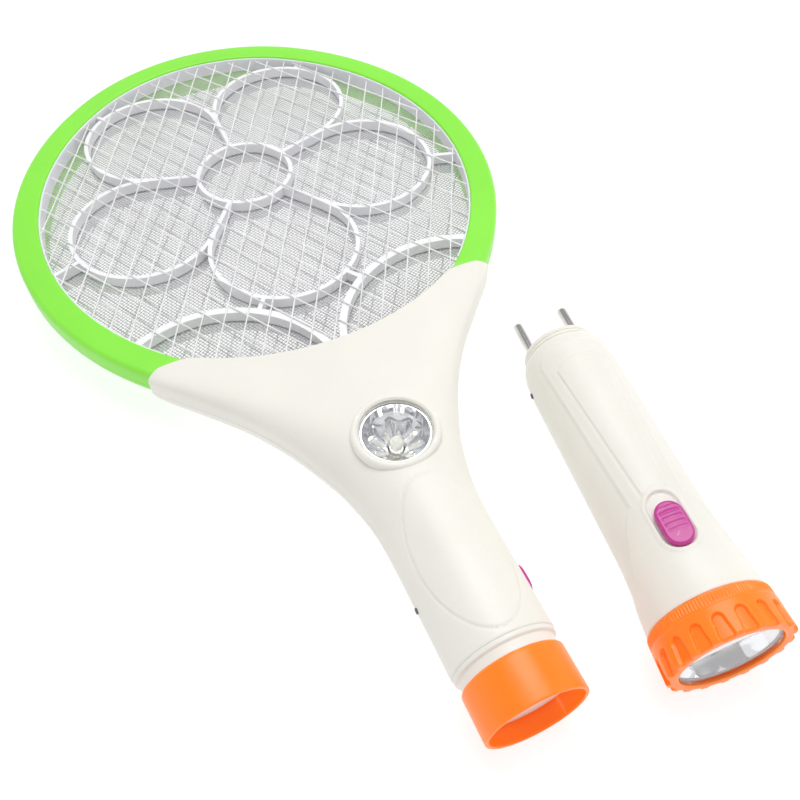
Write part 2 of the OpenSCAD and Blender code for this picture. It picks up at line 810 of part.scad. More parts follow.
rim_front();
rim_rear();
front_mesh();
front_spacer();
middle_mesh();
rear_spacer();
rear_mesh();
rim_screws();
front_shell();
rear_shell();
lamp_bezel();
lamp_reflector();
lamp_led();
lamp_lens();
circuit_board();
step_up_transformer();
storage_capacitor();
diode_ladder();
mesh_contacts();
zap_switch();
zap_button();
neck_ring();
socket_plate();
contact_sleeves();
collar();
shell_screws();
handle_side_screw();
torch_front_shell();
torch_rear_shell();
plug_cap();
plug_pins();
torch_battery();
charge_board();
torch_switch();
torch_slider();
torch_reflector();
torch_led_board();
torch_leds();
lens_gasket();
torch_lens();
torch_bezel();
torch_side_screw();
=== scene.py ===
"""Electric fly swatter with its plug-in torch: the looks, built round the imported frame.

Racket pieces are drawn in millimetres about the middle of the head, on the racket's mid-plane.
Torch pieces are drawn in millimetres along the torch's axis, from the neck towards the lens.
RACKET and TORCH carry both to the row frame.
"""
import json
import math

import bpy
import bmesh
import numpy as np
from mathutils import Matrix, Vector


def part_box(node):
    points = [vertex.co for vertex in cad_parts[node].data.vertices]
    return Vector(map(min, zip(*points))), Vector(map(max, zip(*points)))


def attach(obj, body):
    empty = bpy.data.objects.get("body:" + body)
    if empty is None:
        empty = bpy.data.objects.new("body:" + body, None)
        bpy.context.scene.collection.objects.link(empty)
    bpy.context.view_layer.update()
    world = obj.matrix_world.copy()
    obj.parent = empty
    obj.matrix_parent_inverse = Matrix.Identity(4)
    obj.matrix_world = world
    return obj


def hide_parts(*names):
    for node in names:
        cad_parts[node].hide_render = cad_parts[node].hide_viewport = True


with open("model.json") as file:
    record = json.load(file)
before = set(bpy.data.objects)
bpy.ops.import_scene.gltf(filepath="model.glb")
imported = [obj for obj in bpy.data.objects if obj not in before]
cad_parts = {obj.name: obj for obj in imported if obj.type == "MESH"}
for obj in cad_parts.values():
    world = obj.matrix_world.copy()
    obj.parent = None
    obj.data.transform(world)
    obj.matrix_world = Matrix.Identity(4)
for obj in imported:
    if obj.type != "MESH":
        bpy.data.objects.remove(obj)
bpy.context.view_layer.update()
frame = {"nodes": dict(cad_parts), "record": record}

MM = 0.001

# ---------------------------------------------------------------- driving sizes, in millimetres

HALF_WIDTH = 96.0        # of the mesh opening
HALF_LENGTH = 109.0
RIM = 11.5               # width of the rim
RIM_H = 8.2              # half of its thickness
MESH_Z = 5.75            # middle of the front mesh
RIM_END_Y = -86.4        # where the rim meets the throat
HANDLE_END_Y = -238.6
MOUTH_Y = -259.8
HANDLE_R = 18.0
COLLAR_R = 17.6
LAMP_Y = -158.0
LAMP_R = 16.0
BUTTON_Y = -218.5
EDGE_R = 101.0           # arc of the throat's edge over the mesh
EDGE_Y = -2.3
WALL = 2.2
TORCH_LENGTH = 114.0
BEZEL_END = 129.0
BEZEL_R = 21.4
BEZEL_BORE = 18.8
RECESS_Z = 87.4
SLIDER_Z = RECESS_Z + 2.2
NECK_H = 4.5
PIN_LENGTH = 19.0
PIN_R = 2.0
PIN_X = 9.5

# The oval of the head: four tangent arcs whose centres make a 3-4-5 triangle.
SIDE_C = 3 * (HALF_LENGTH - HALF_WIDTH) / 2
END_C = 4 * (HALF_LENGTH - HALF_WIDTH) / 2
SIDE_R = HALF_WIDTH + SIDE_C
END_R = HALF_LENGTH - END_C
ARC_JOIN = math.atan2(4, 3)

record = frame["record"]
joints = {j["name"]: j for j in record["behaviour"]["joints"]}
mounts = {m["name"]: m for m in record["mounts"]}


def racket_place():
    low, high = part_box("rim_front")
    return Matrix.Translation((0, high[1] - (HALF_LENGTH + RIM) * MM, low[2])) @ Matrix.Scale(MM, 4)


def torch_place():
    """The torch's axis from its bezel's hinge, its roll from its two pins."""
    hinge_z = 120
    z = Vector(joints["bezel_twist"]["axis"]).normalized()
    x = Vector(mounts["plug_pin_right"]["pos_m"]) - Vector(mounts["plug_pin_left"]["pos_m"])
    x = (x - z * x.dot(z)).normalized()
    y = z.cross(x)
    turn = Matrix((x, y, z)).transposed().to_4x4()
    start = Vector(joints["bezel_twist"]["pos_m"]) - z * hinge_z * MM
    return Matrix.Translation(start) @ turn @ Matrix.Scale(MM, 4)


RACKET = racket_place()
TORCH = torch_place()
ALONG_HANDLE = RACKET @ Matrix.Rotation(math.radians(90), 4, "X")   # local +Z points to the mouth


# ---------------------------------------------------------------- materials

class Nodes:
    """A material's node tree, with short calls for what repeats."""

    def __init__(self, name):
        self.material = bpy.data.materials.new(name)
        self.material.use_nodes = True
        self.tree = self.material.node_tree
        self.shader = self.tree.nodes["Principled BSDF"]
        self.coordinates = self.tree.nodes.new("ShaderNodeTexCoord").outputs["Object"]

    def join(self, output, socket):
        self.tree.links.new(output, socket)

    def noise(self, scale, detail=3.0, rough=0.5, stretch=None):
        node = self.tree.nodes.new("ShaderNodeTexNoise")
        node.inputs["Scale"].default_value = scale
        node.inputs["Detail"].default_value = detail
        node.inputs["Roughness"].default_value = rough
        source = self.coordinates
        if stretch:
            mapping = self.tree.nodes.new("ShaderNodeMapping")
            mapping.inputs["Scale"].default_value = stretch
            self.join(source, mapping.inputs["Vector"])
            source = mapping.outputs["Vector"]
        self.join(source, node.inputs["Vector"])
        return node.outputs["Fac"]

    def ramp(self, value, stops):
        node = self.tree.nodes.new("ShaderNodeValToRGB")
        elements = node.color_ramp.elements
        while len(elements) < len(stops):
            elements.new(0.5)
        for element, (place, colour) in zip(elements, stops):
            element.position = place
            element.color = (*colour, 1)
        self.join(value, node.inputs["Fac"])
        return node.outputs["Color"]

    def spread(self, value, low, high):
        node = self.tree.nodes.new("ShaderNodeMapRange")
        node.inputs["To Min"].default_value = low
        node.inputs["To Max"].default_value = high
        self.join(value, node.inputs["Value"])
        return node.outputs["Result"]

    def mix(self, factor, a, b):
        node = self.tree.nodes.new("ShaderNodeMix")
        node.data_type = "RGBA"
        self.join(factor, node.inputs["Factor"])
        for source, socket in ((a, node.inputs["A"]), (b, node.inputs["B"])):
            if isinstance(source, tuple):
                socket.default_value = (*source, 1)
            else:
                self.join(source, socket)
        return node.outputs["Result"]

    def bump(self, value, distance, strength=1.0):
        node = self.tree.nodes.new("ShaderNodeBump")
        node.inputs["Strength"].default_value = strength
        node.inputs["Distance"].default_value = distance
        self.join(value, node.inputs["Height"])
        self.join(node.outputs["Normal"], self.shader.inputs["Normal"])

    def edges(self, low=0.52, high=0.6):
        """Where the surface is sharply convex, as on a worn edge."""
        geometry = self.tree.nodes.new("ShaderNodeNewGeometry")
        node = self.tree.nodes.new("ShaderNodeMapRange")
        node.inputs["From Min"].default_value = low
        node.inputs["From Max"].default_value = high
        self.join(geometry.outputs["Pointiness"], node.inputs["Value"])
        return node.outputs["Result"]


def shade(colour, k):
    return tuple(min(c * k, 1.0) for c in colour)


def plastic(name, colour, worn, rough, grain=2500, depth=0.00002, subsurface=0.0, coat=0.0,
            painted_glow=None):
    """Moulded plastic: faint colour drift, fine grain, uneven gloss and paler worn edges. With painted_glow
    it also gets a painted glow: emission that brightens its shaded sides, though it is no lamp.
    """
    n = Nodes(name)
    drift = n.ramp(n.noise(22, 3), [(0.3, shade(colour, 0.965)), (0.7, shade(colour, 1.02))])
    specks = n.mix(n.spread(n.noise(900, 2), -0.25, 0.3), drift, shade(colour, 0.93))
    n.join(n.mix(n.edges(), specks, worn), n.shader.inputs["Base Color"])
    n.join(n.spread(n.noise(60, 5, 0.6), rough - 0.06, rough + 0.1), n.shader.inputs["Roughness"])
    n.bump(n.noise(grain, 3, 0.6), depth, 0.35)
    n.shader.inputs["IOR"].default_value = 1.5
    if subsurface:
        n.shader.inputs["Subsurface Weight"].default_value = subsurface
        n.shader.inputs["Subsurface Scale"].default_value = 0.003
        n.shader.inputs["Subsurface Radius"].default_value = (1.0, 0.8, 0.55)
    if coat:
        n.shader.inputs["Coat Weight"].default_value = coat
        n.shader.inputs["Coat Roughness"].default_value = 0.12
    if painted_glow:                                                 # painted glow: emission that brightens the shaded sides, though the part is no lamp
        n.shader.inputs["Emission Color"].default_value = (*painted_glow, 1)
        n.shader.inputs["Emission Strength"].default_value = 0.2
    return n.material


def metal(name, colour, rough, grain=1200, stretch=(1, 1, 1), depth=0.00001, dull=0.85, metallic=1.0):
    """Metal with drawn or brushed grain and patches that are a little duller."""
    n = Nodes(name)
    patches = n.ramp(n.noise(70, 4), [(0.35, shade(colour, dull)), (0.65, colour)])
    n.join(patches, n.shader.inputs["Base Color"])
    n.shader.inputs["Metallic"].default_value = metallic
    n.join(n.spread(n.noise(200, 4, 0.6, stretch), rough * 0.7, rough * 1.4),
           n.shader.inputs["Roughness"])
    n.bump(n.noise(grain, 3, 0.5, stretch), depth, 0.4)
    return n.material


def clear(name, tint):
    """Clear moulded lens with faint swirls in its surface."""
    n = Nodes(name)
    n.join(n.ramp(n.noise(40), [(0.3, tint), (0.7, (1, 1, 1))]), n.shader.inputs["Base Color"])
    n.shader.inputs["Transmission Weight"].default_value = 1.0
    n.shader.inputs["IOR"].default_value = 1.12
    n.join(n.spread(n.noise(300, 3), 0.0, 0.05), n.shader.inputs["Roughness"])
    n.bump(n.noise(150, 2), 0.000004, 0.15)
    return n.material


def board(name):
    """Circuit board: green mask over a fine pattern of copper tracks."""
    n = Nodes(name)
    node = n.tree.nodes.new("ShaderNodeTexBrick")
    node.inputs["Scale"].default_value = 260
    node.inputs["Color1"].default_value = (0.03, 0.2, 0.08, 1)
    node.inputs["Color2"].default_value = (0.04, 0.24, 0.1, 1)
    node.inputs["Mortar"].default_value = (0.12, 0.36, 0.14, 1)
    n.join(n.coordinates, node.inputs["Vector"])
    n.join(node.outputs["Color"], n.shader.inputs["Base Color"])
    n.join(n.spread(n.noise(400), 0.3, 0.5), n.shader.inputs["Roughness"])
    n.bump(node.outputs["Fac"], 0.00003, 0.4)
    return n.material


IVORY = (0.88, 0.86, 0.79)
LIME = (0.27, 0.86, 0.06)
ORANGE = (1.0, 0.25, 0.008)
MAGENTA = (0.56, 0.03, 0.3)
# colour of the painted glow: emission that brightens the orange parts in shade, though they are no lamps
ORANGE_PAINTED_GLOW = (1.0, 0.03, 0.0)
OVERHEAD_WATTS = 12.6
FILL_WATTS = 2.5

MATERIALS = {
    "ivory_shell": plastic("ivory_plastic", IVORY, (0.93, 0.92, 0.88), 0.42, subsurface=0.12),
    "lime_rim": plastic("lime_plastic", LIME, (0.5, 0.93, 0.25), 0.34, grain=1400, depth=0.00003,
                        subsurface=0.08),
    # the orange plastic gets a painted glow, an emission that stands in for brighter shade
    "orange_ring": plastic("orange_plastic", ORANGE, (1.0, 0.36, 0.06), 0.34, subsurface=0.3,
                           painted_glow=ORANGE_PAINTED_GLOW),
    "magenta_key": plastic("magenta_plastic", MAGENTA, (0.72, 0.12, 0.46), 0.3, coat=0.2),
    "white_spacer": plastic("white_plastic", (0.88, 0.88, 0.93), (0.95, 0.95, 0.97), 0.35,
                            subsurface=0.1),
    "black_parts": plastic("black_plastic", (0.03, 0.03, 0.032), (0.12, 0.12, 0.12), 0.45),
    "capacitor": plastic("capacitor_lacquer", (0.5, 0.06, 0.03), (0.6, 0.15, 0.1), 0.25, coat=0.5),
    "battery_steel": plastic("battery_sleeve", (0.05, 0.12, 0.4), (0.3, 0.35, 0.5), 0.3, coat=0.4),
    "gasket_rubber": plastic("gasket_silicone", (0.8, 0.8, 0.78), (0.85, 0.85, 0.84), 0.6),
    "led_resin": plastic("led_resin", (0.95, 0.93, 0.82), (1, 1, 0.95), 0.12, coat=0.6),
    "mesh_wire": metal("galvanised_wire", (0.97, 0.97, 0.97), 0.42, 900, (1, 1, 6), metallic=0.2),
    "fine_wire": metal("drawn_wire", (0.62, 0.62, 0.64), 0.34, 900, (1, 1, 6), metallic=0.5),
    "screw_steel": metal("screw_steel", (0.62, 0.62, 0.64), 0.32),
    "plated_pin": metal("nickel_plate", (0.86, 0.85, 0.84), 0.14, 2200, (6, 1, 6)),
    "contact_brass": metal("contact_brass", (0.85, 0.62, 0.26), 0.3),
    "reflector": metal("vacuum_plating", (0.93, 0.93, 0.95), 0.05, 500, depth=0.000004, dull=0.95),
    "clear_lens": clear("lens_plastic", (0.95, 0.97, 0.98)),
    "board": board("circuit_board"),
}


# ---------------------------------------------------------------- building pieces

def mesh_object(name, verts, faces, place, sharp=40, merge=0.0):
    """A mesh from points in a local frame of millimetres, closed and facing outwards."""
    turn = np.array(place.to_3x3())
    shift = np.array(place.to_translation())
    points = np.asarray(verts, float) @ turn.T + shift
    mesh = bpy.data.meshes.new(name)
    mesh.from_pydata(points.tolist(), [], faces)
    work = bmesh.new()
    work.from_mesh(mesh)
    if merge:
        bmesh.ops.remove_doubles(work, verts=work.verts, dist=merge * MM)
    bmesh.ops.recalc_face_normals(work, faces=work.faces)
    work.to_mesh(mesh)
    work.free()
    finish_shading(mesh, sharp)
    obj = bpy.data.objects.new(name, mesh)
    bpy.context.scene.collection.objects.link(obj)
    return obj


def finish_shading(mesh, sharp):
    mesh.polygons.foreach_set("use_smooth", [True] * len(mesh.polygons))
    mesh.set_sharp_from_angle(angle=math.radians(sharp))


def dress(obj, slot, body, *replaced, look=None):
    """Gives a piece its material, its body and the CAD nodes that it stands for."""
    obj.data.materials.clear()
    obj.data.materials.append(MATERIALS[look or slot])
    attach(obj, body)
    if replaced:
        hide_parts(*replaced)
    return obj


def carve(obj, cutters, sharp=40):
    """Cuts the closed cutters out of obj and applies the result."""
    for cutter in cutters:
        modifier = obj.modifiers.new("cut", "BOOLEAN")
        modifier.object = cutter
        modifier.operation = "DIFFERENCE"
        modifier.solver = "EXACT"
    depsgraph = bpy.context.evaluated_depsgraph_get()
    cut = bpy.data.meshes.new_from_object(obj.evaluated_get(depsgraph))
    obj.modifiers.clear()
    obj.data = cut
    for cutter in cutters:
        bpy.data.objects.remove(cutter, do_unlink=True)
    finish_shading(obj.data, sharp)


def loop_faces(rows, columns, closed_rows=False, closed_columns=False, start=0):
    """Quads over a grid of points stored row by row."""
    faces = []
    for i in range(rows if closed_rows else rows - 1):
        for j in range(columns if closed_columns else columns - 1):
            a, b = i * columns, ((i + 1) % rows) * columns
            k = (j + 1) % columns
            faces.append((start + a + j, start + a + k, start + b + k, start + b + j))
    return faces


def lathe(name, profile, place, segments=128, sharp=35, radius=None):
    """Turns a closed profile of (radius, height) points. radius(r, z, angle) may vary it."""
    angles = np.linspace(0, 2 * math.pi, segments, endpoint=False)
    verts = []
    for r, z in profile:
        rs = radius(r, z, angles) if radius else np.full(segments, r)
        verts.append(np.column_stack((rs * np.cos(angles), rs * np.sin(angles),
                                      np.full(segments, z))))
    faces = loop_faces(len(profile), segments, closed_rows=True, closed_columns=True)
    return mesh_object(name, np.concatenate(verts), faces, place, sharp, merge=0.0005)


def rounded(corners, segments=5):
    """A closed outline from (x, y, fillet radius) corners."""
    points = []
    count = len(corners)
    for i, (x, y, fillet) in enumerate(corners):
        here = np.array((x, y), float)
        if not fillet:
            points.append(tuple(here))
            continue
        to_last = np.array(corners[i - 1][:2], float) - here
        to_next = np.array(corners[(i + 1) % count][:2], float) - here
        to_last /= np.linalg.norm(to_last)
        to_next /= np.linalg.norm(to_next)
        half = math.acos(np.clip(to_last @ to_next, -1, 1)) / 2
        reach = fillet / math.tan(half)
        start, end = here + to_last * reach, here + to_next * reach
        middle = here + (to_last + to_next) / np.linalg.norm(to_last + to_next) * fillet / math.sin(half)
        a, b = start - middle, end - middle
        turn = math.atan2(a[0] * b[1] - a[1] * b[0], a @ b)
        for k in range(segments + 1):
            t = turn * k / segments
            points.append((middle[0] + a[0] * math.cos(t) - a[1] * math.sin(t),
                           middle[1] + a[0] * math.sin(t) + a[1] * math.cos(t)))
    return points


def shell_solid(outer, inner):
    """Points and faces of a closed sheet between two grids of the same size."""
    rows, columns = outer.shape[:2]
    verts = np.concatenate((outer.reshape(-1, 3), inner.reshape(-1, 3)))
    count = rows * columns
    faces = loop_faces(rows, columns)
    faces += [tuple(reversed(f)) for f in loop_faces(rows, columns, start=count)]
    border = [j for j in range(columns)]
    border += [i * columns + columns - 1 for i in range(1, rows)]
    border += [(rows - 1) * columns + j for j in range(columns - 2, -1, -1)]
    border += [i * columns for i in range(rows - 2, 0, -1)]
    for a, b in zip(border, border[1:] + border[:1]):
        faces.append((b, a, a + count, b + count))
    return verts, faces


def smooth_step(x):
    x = np.clip(x, 0, 1)
    return x * x * (3 - 2 * x)


def prism(name, outline, z0, z1, place):
    """An upright cutter from an outline of (x, y) points."""
    n = len(outline)
    verts = [(x, y, z0) for x, y in outline] + [(x, y, z1) for x, y in outline]
    faces = [(i, (i + 1) % n, n + (i + 1) % n, n + i) for i in range(n)]
    faces += [tuple(range(n - 1, -1, -1)), tuple(range(n, 2 * n))]
    return mesh_object(name, verts, faces, place)


def circle(x, y, r, segments=96):
    return [(x + r * math.cos(2 * math.pi * k / segments), y + r * math.sin(2 * math.pi * k / segments))
            for k in range(segments)]


def stadium(length, width, segments=96):
    """Points round a slot along Y, as (middle line point, direction) pairs."""
    r = width / 2
    half = (length - width) / 2
    total = 4 * half + 2 * math.pi * r
    result = []
    for k in range(segments):
        s = total * k / segments
        if s < 2 * half:
            result.append(((0, -half + s), (1, 0)))
        elif s < 2 * half + math.pi * r:
            a = (s - 2 * half) / r
            result.append(((0, half), (math.cos(a), math.sin(a))))
        elif s < 4 * half + math.pi * r:
            result.append(((0, half - (s - 2 * half - math.pi * r)), (-1, 0)))
        else:
            a = math.pi + (s - 4 * half - math.pi * r) / r
            result.append(((0, -half), (math.cos(a), math.sin(a))))
    return result


def key(name, length, width, base, top, place, fillet=1.0, crown=0.35, ribs=5, pitch=2.0, rib=0.3,
        middle=0.0):
    """A push or slide key: a slot-shaped block with a crowned top and cross ribs."""
    line = stadium(length, width)
    r = width / 2
    levels = [(0.0, base), (0.0, base + 0.5)]
    levels += [(fillet * (1 - math.cos(t)), top - fillet * (1 - math.sin(t)))
               for t in np.linspace(0, math.pi / 2, 7)]
    levels += [(i, top) for i in np.linspace(fillet, r, 14)[1:]]
    verts = []
    for inset, z in levels:
        for (cx, cy), (dx, dy) in line:
            x, y = cx + (r - inset) * dx, cy + (r - inset) * dy
            height = z
            if inset >= fillet:
                height += crown * smooth_step((inset - fillet) / (r - fillet))
                reach = max(0.0, min(1.0, (width / 2 - 1.3 - abs(x)) / 0.5))
                wave = 0.5 + 0.5 * math.cos(2 * math.pi * (y - middle) / pitch)
                if abs(y - middle) < ribs * pitch / 2:
                    height += rib * reach * wave ** 2
            verts.append((x, y, height))
    columns = len(line)
    faces = loop_faces(len(levels), columns, closed_columns=True)
    faces.append(tuple(range(columns)))
    return mesh_object(name, verts, faces, place, 50, merge=0.0005)


# ---------------------------------------------------------------- the head

def oval_distance(x, y):
    """Distance outside the oval of the mesh opening."""
    x, y = np.abs(x), np.abs(y)
    on_side = np.arctan2(y, x + SIDE_C) <= ARC_JOIN
    return np.where(on_side, np.hypot(x + SIDE_C, y) - SIDE_R, np.hypot(x, y - END_C) - END_R)


def oval_line(start, steps=(40, 64, 40)):
    """(centre x, centre y, radius, angle) round the tip, from one side of the throat to the other."""
    arcs = ((-SIDE_C, 0, SIDE_R, start, ARC_JOIN), (0, END_C, END_R, ARC_JOIN, math.pi - ARC_JOIN),
            (SIDE_C, 0, SIDE_R, math.pi - ARC_JOIN, math.pi - start))
    line = []
    for (cx, cy, r, a, b), count in zip(arcs, steps):
        line += [(cx, cy, r, t) for t in np.linspace(a, b, count, endpoint=False)]
    return line + [(SIDE_C, 0, SIDE_R, math.pi - start)]


def sweep_oval(profile, line):
    """Carries a closed profile of (distance outside the oval, height) along the line."""
    verts = [(cx + (r + off) * math.cos(t), cy + (r + off) * math.sin(t), z)
             for cx, cy, r, t in line for off, z in profile]
    n = len(profile)
    faces = loop_faces(len(line), n, closed_columns=True)
    faces += [tuple(range(n)), tuple(range((len(line) - 1) * n, len(line) * n))]
    return verts, faces


def slice_off(obj, point, normal):
    """Cuts away what lies beyond a plane given in the row frame, and closes the cut."""
    work = bmesh.new()
    work.from_mesh(obj.data)
    cut = bmesh.ops.bisect_plane(work, geom=work.verts[:] + work.edges[:] + work.faces[:],
                                 plane_co=point, plane_no=normal, clear_outer=True)
    edges = [e for e in cut["geom_cut"] if isinstance(e, bmesh.types.BMEdge)]
    bmesh.ops.holes_fill(work, edges=edges)
    bmesh.ops.recalc_face_normals(work, faces=work.faces)
    work.to_mesh(obj.data)
    work.free()
    finish_shading(obj.data, 40)


def rim(name, side, fillet):
    """Half of the lime rim, with the seam round its outside."""
    outline = [(0, 0, 0), (RIM - 0.2, 0, 0), (RIM, 0.2, 0.1), (RIM, RIM_H, fillet), (0, RIM_H, 0.9)]
    outline = [(x, y + (0.03 if y == 0 else 0), f) for x, y, f in outline]
    profile = [(x, z * side) for x, z in rounded(outline, 6)]
    if side < 0:
        curve = [(RIM * math.cos(t), RIM_H * math.sin(t)) for t in np.linspace(0.06, 1.5, 18)]
        profile = [(x, -z) for x, z in [(0, 0.03), (RIM, 0.03)] + curve + [(0, RIM_H - 0.3)]]
    verts, faces = sweep_oval(profile, oval_line(math.radians(-50)))
    obj = mesh_object(name, verts, faces, RACKET)
    hidden = 4.0
    slice_off(obj, RACKET @ Vector((0, RIM_END_Y - hidden, 0)), (0, -1, 0))
    return obj


dress(rim("rim_front_half", 1, 2.2), "lime_rim", "racket", "rim_front")
dress(rim("rim_rear_half", -1, 7.4), "lime_rim", "racket", "rim_rear")


SPAN = 260               # farther than any wire reaches from its origin
LINER = 0.75             # wall of the pale liner
CORNER_BACK = 2.2        # how far the throat's corners draw back at the seam
CORNER_REACH = 7


def liner():
    """The pale edge of the spacer that shows round the inside of the front half of the rim."""
    outline = rounded([(-LINER, 0.6, 0), (-0.04, 0.6, 0), (-0.04, 7.3, 0.1), (-LINER, 7.3, 0.25)], 4)
    verts, faces = sweep_oval(outline, oval_line(math.radians(-44)))
    return mesh_object("rim_liner", verts, faces, RACKET)


dress(liner(), "white_spacer", "racket")


def wire_cloth(families, radius, z, crimp, sides, limit=3.9, y_low=-109.5):
    """Round wires over the oval. A family is (direction in degrees, a point on one wire, spacing,
    length of half a crimp)."""
    verts, faces = [], []
    start = 0
    around = np.linspace(0, 2 * math.pi, sides, endpoint=False)
    for parity, (angle, origin, spacing, half_wave) in enumerate(families):
        along = np.array((math.cos(math.radians(angle)), math.sin(math.radians(angle))))
        across = np.array((-along[1], along[0]))
        step = half_wave / 2 if crimp else 6.0
        s = np.arange(-int(SPAN / step), int(SPAN / step)) * step
        reach = int(SPAN / spacing)
        for k in range(-reach, reach + 1):
            line = np.array(origin) + across * spacing * k + s[:, None] * along
            keep = (oval_distance(line[:, 0], line[:, 1]) < limit) & (line[:, 1] > y_low)
            if keep.sum() < 3:
                continue
            run = line[keep]
            phase = math.pi * (s[keep] / half_wave + k + parity)
            height = z + crimp * np.cos(phase)
            ring = (run[:, None, :] + across * (radius * np.cos(around))[None, :, None])
            up = height[:, None] + (radius * np.sin(around))[None, :]
            verts.append(np.dstack((ring, up)).reshape(-1, 3))
            rows = len(run)
            faces += loop_faces(rows, sides, closed_columns=True, start=start)
            faces.append(tuple(range(start, start + sides)))
            faces.append(tuple(range(start + (rows - 1) * sides, start + rows * sides)))
            start += rows * sides
    return np.concatenate(verts), faces


def frame_wire(radius, z, offset, sides=8):
    """The wire that ties the cut ends together, round the oval and across the throat."""
    line = [(cx + (r + offset) * math.cos(t), cy + (r + offset) * math.sin(t))
            for cx, cy, r, t in oval_line(math.radians(-53))]
    ends = [(line[-1][0] * 0.86, -102), (line[-1][0] * 0.6, -109.5), (line[0][0] * 0.6, -109.5),
            (line[0][0] * 0.86, -102)]
    points = np.array(line + ends)
    n = len(points)
    ahead = np.roll(points, -1, 0) - np.roll(points, 1, 0)
    ahead /= np.linalg.norm(ahead, axis=1)[:, None]
    across = np.column_stack((-ahead[:, 1], ahead[:, 0]))
    verts = []
    for point, side in zip(points, across):
        for a in np.linspace(0, 2 * math.pi, sides, endpoint=False):
            verts.append((*(point + side * radius * math.cos(a)), z + radius * math.sin(a)))
    return np.array(verts), loop_faces(n, sides, closed_rows=True, closed_columns=True)


def cloth(name, families, radius, z, crimp, sides, replaced, look="mesh_wire"):
    verts, faces = wire_cloth(families, radius, z, crimp, sides)
    edge_verts, edge_faces = frame_wire(0.5, z, 4.0)
    count = len(verts)
    faces += [tuple(i + count for i in f) for f in edge_faces]
    obj = mesh_object(name, np.concatenate((verts, edge_verts)), faces, RACKET, 60)
    return dress(obj, "mesh_wire", "racket", replaced, look=look)


COARSE_R = 0.34
FINE_R = 0.17
CRIMP = 0.16             # how far a wire of the middle cloth weaves up and down
# The coarse wires cross in diamonds that lean a little to one side of the handle's line.
COARSE_NODE = (-60.1, -37.6)
COARSE_STEP = 10.5
COARSE_LEAN = 2.4
COARSE_ANGLE = 29.5
FINE_STEP = 1.3


def coarse_families(mirror):
    turn = COARSE_LEAN * mirror
    spacing = COARSE_STEP * math.sin(math.radians(2 * COARSE_ANGLE))
    node = (COARSE_NODE[0] * mirror, COARSE_NODE[1])
    return [(-90 + turn + side * COARSE_ANGLE, node, spacing, COARSE_STEP) for side in (1, -1)]


fine = [(a, (0, 0), FINE_STEP, FINE_STEP) for a in (29.7, 119.7)]
cloth("front_wire_grid", coarse_families(1), COARSE_R, MESH_Z, 0.0, 8, "front_mesh")
cloth("rear_wire_grid", coarse_families(-1), COARSE_R, -MESH_Z, 0.0, 8, "rear_mesh")
cloth("middle_wire_cloth", fine, FINE_R, 0.0, CRIMP, 4, "middle_mesh", look="fine_wire")


# ---------------------------------------------------------------- throat and handle

# Stations along the handle: distance, half width, half thickness, squareness.
STATIONS = [
    (-84.5, 75.4, 9.3, 9.0), (-92.5, 70.6, 9.6, 8.0), (-105.5, 58.8, 10.8, 6.0),
    (-122.0, 44.8, 13.0, 4.2), (-139.5, 33.8, 15.8, 3.2), (-158.0, 25.3, 17.3, 2.6),
    (-167.5, 22.2, 17.7, 2.35), (-180.0, 19.4, 17.9, 2.15), (-196.0, 18.3, 17.98, 2.0),
    (HANDLE_END_Y, HANDLE_R, HANDLE_R, 2.0)]
SHELL_COLUMNS = 150
BADGE = (0.3, -206.6, 14.6, 29.3)      # middle x, middle y, half width, half length


def station_curve(steps=40):
    """Smooth curve through the stations."""
    p = np.array([STATIONS[0]] + STATIONS + [STATIONS[-1]])
    rows = []
    for i in range(1, len(p) - 2):
        a, b, c, d = p[i - 1:i + 3]
        for t in np.arange(steps) / steps:
            rows.append(0.5 * (2 * b + (c - a) * t + (2 * a - 5 * b + 4 * c - d) * t * t
                               + (3 * b - a - 3 * c + d) * t ** 3))
    return np.array(rows + [p[-1]])[::-1]


CURVE = station_curve()


def section(y, inset, rear):
    """Half of the handle's outline at y, as points evenly spaced from the right seam to the left.
    The rear half is fully rounded: its corners are as round as it is deep."""
    w, h, n = (np.interp(y, CURVE[:, 0], CURVE[:, k]) for k in (1, 2, 3))
    t = np.linspace(0, math.pi, 721)
    x = (w - inset) * np.sign(np.cos(t)) * np.abs(np.cos(t)) ** (h / w if rear else 2 / n)
    z = (h - inset) * np.abs(np.sin(t)) ** (1 if rear else 2 / n)
    run = np.concatenate(([0], np.cumsum(np.hypot(np.diff(x), np.diff(z)))))
    even = np.linspace(0, run[-1], SHELL_COLUMNS + 1)
    return np.interp(even, run, x), np.interp(even, run, z)


LEVELS = np.arange(HANDLE_END_Y, RIM_END_Y + 0.01, 0.5)
TABLES = {rear: [np.array([section(y, inset, rear) for y in LEVELS]) for inset in (0.0, WALL)]
          for rear in (False, True)}


def on_shell(y, inset, rear):
    """Points of every column at its own y, shrunk by inset."""
    result = []
    for table in TABLES[rear]:
        x = np.array([np.interp(y[j], LEVELS, table[:, 0, j]) for j in range(SHELL_COLUMNS + 1)])
        z = np.array([np.interp(y[j], LEVELS, table[:, 1, j]) for j in range(SHELL_COLUMNS + 1)])
        result.append(np.column_stack((x, y, z)))
    return result[0] + (result[1] - result[0]) * (inset / WALL)


def throat_edge(rear):
    """Where each column meets the throat's edge over the mesh."""
    y = np.full(SHELL_COLUMNS + 1, -90.0)
    blend = 1.1
    for _ in range(40):
        x = on_shell(y, 0.0, rear)[:, 0]
        arc = EDGE_Y - np.sqrt(np.maximum(EDGE_R ** 2 - x ** 2, 1))
        y = RIM_END_Y - blend * np.log1p(np.exp(np.clip((RIM_END_Y - arc) / blend, -30, 30)))
    reach = np.abs(x)
    return y - CORNER_BACK * smooth_step((reach - reach.max() + CORNER_REACH) / CORNER_REACH)


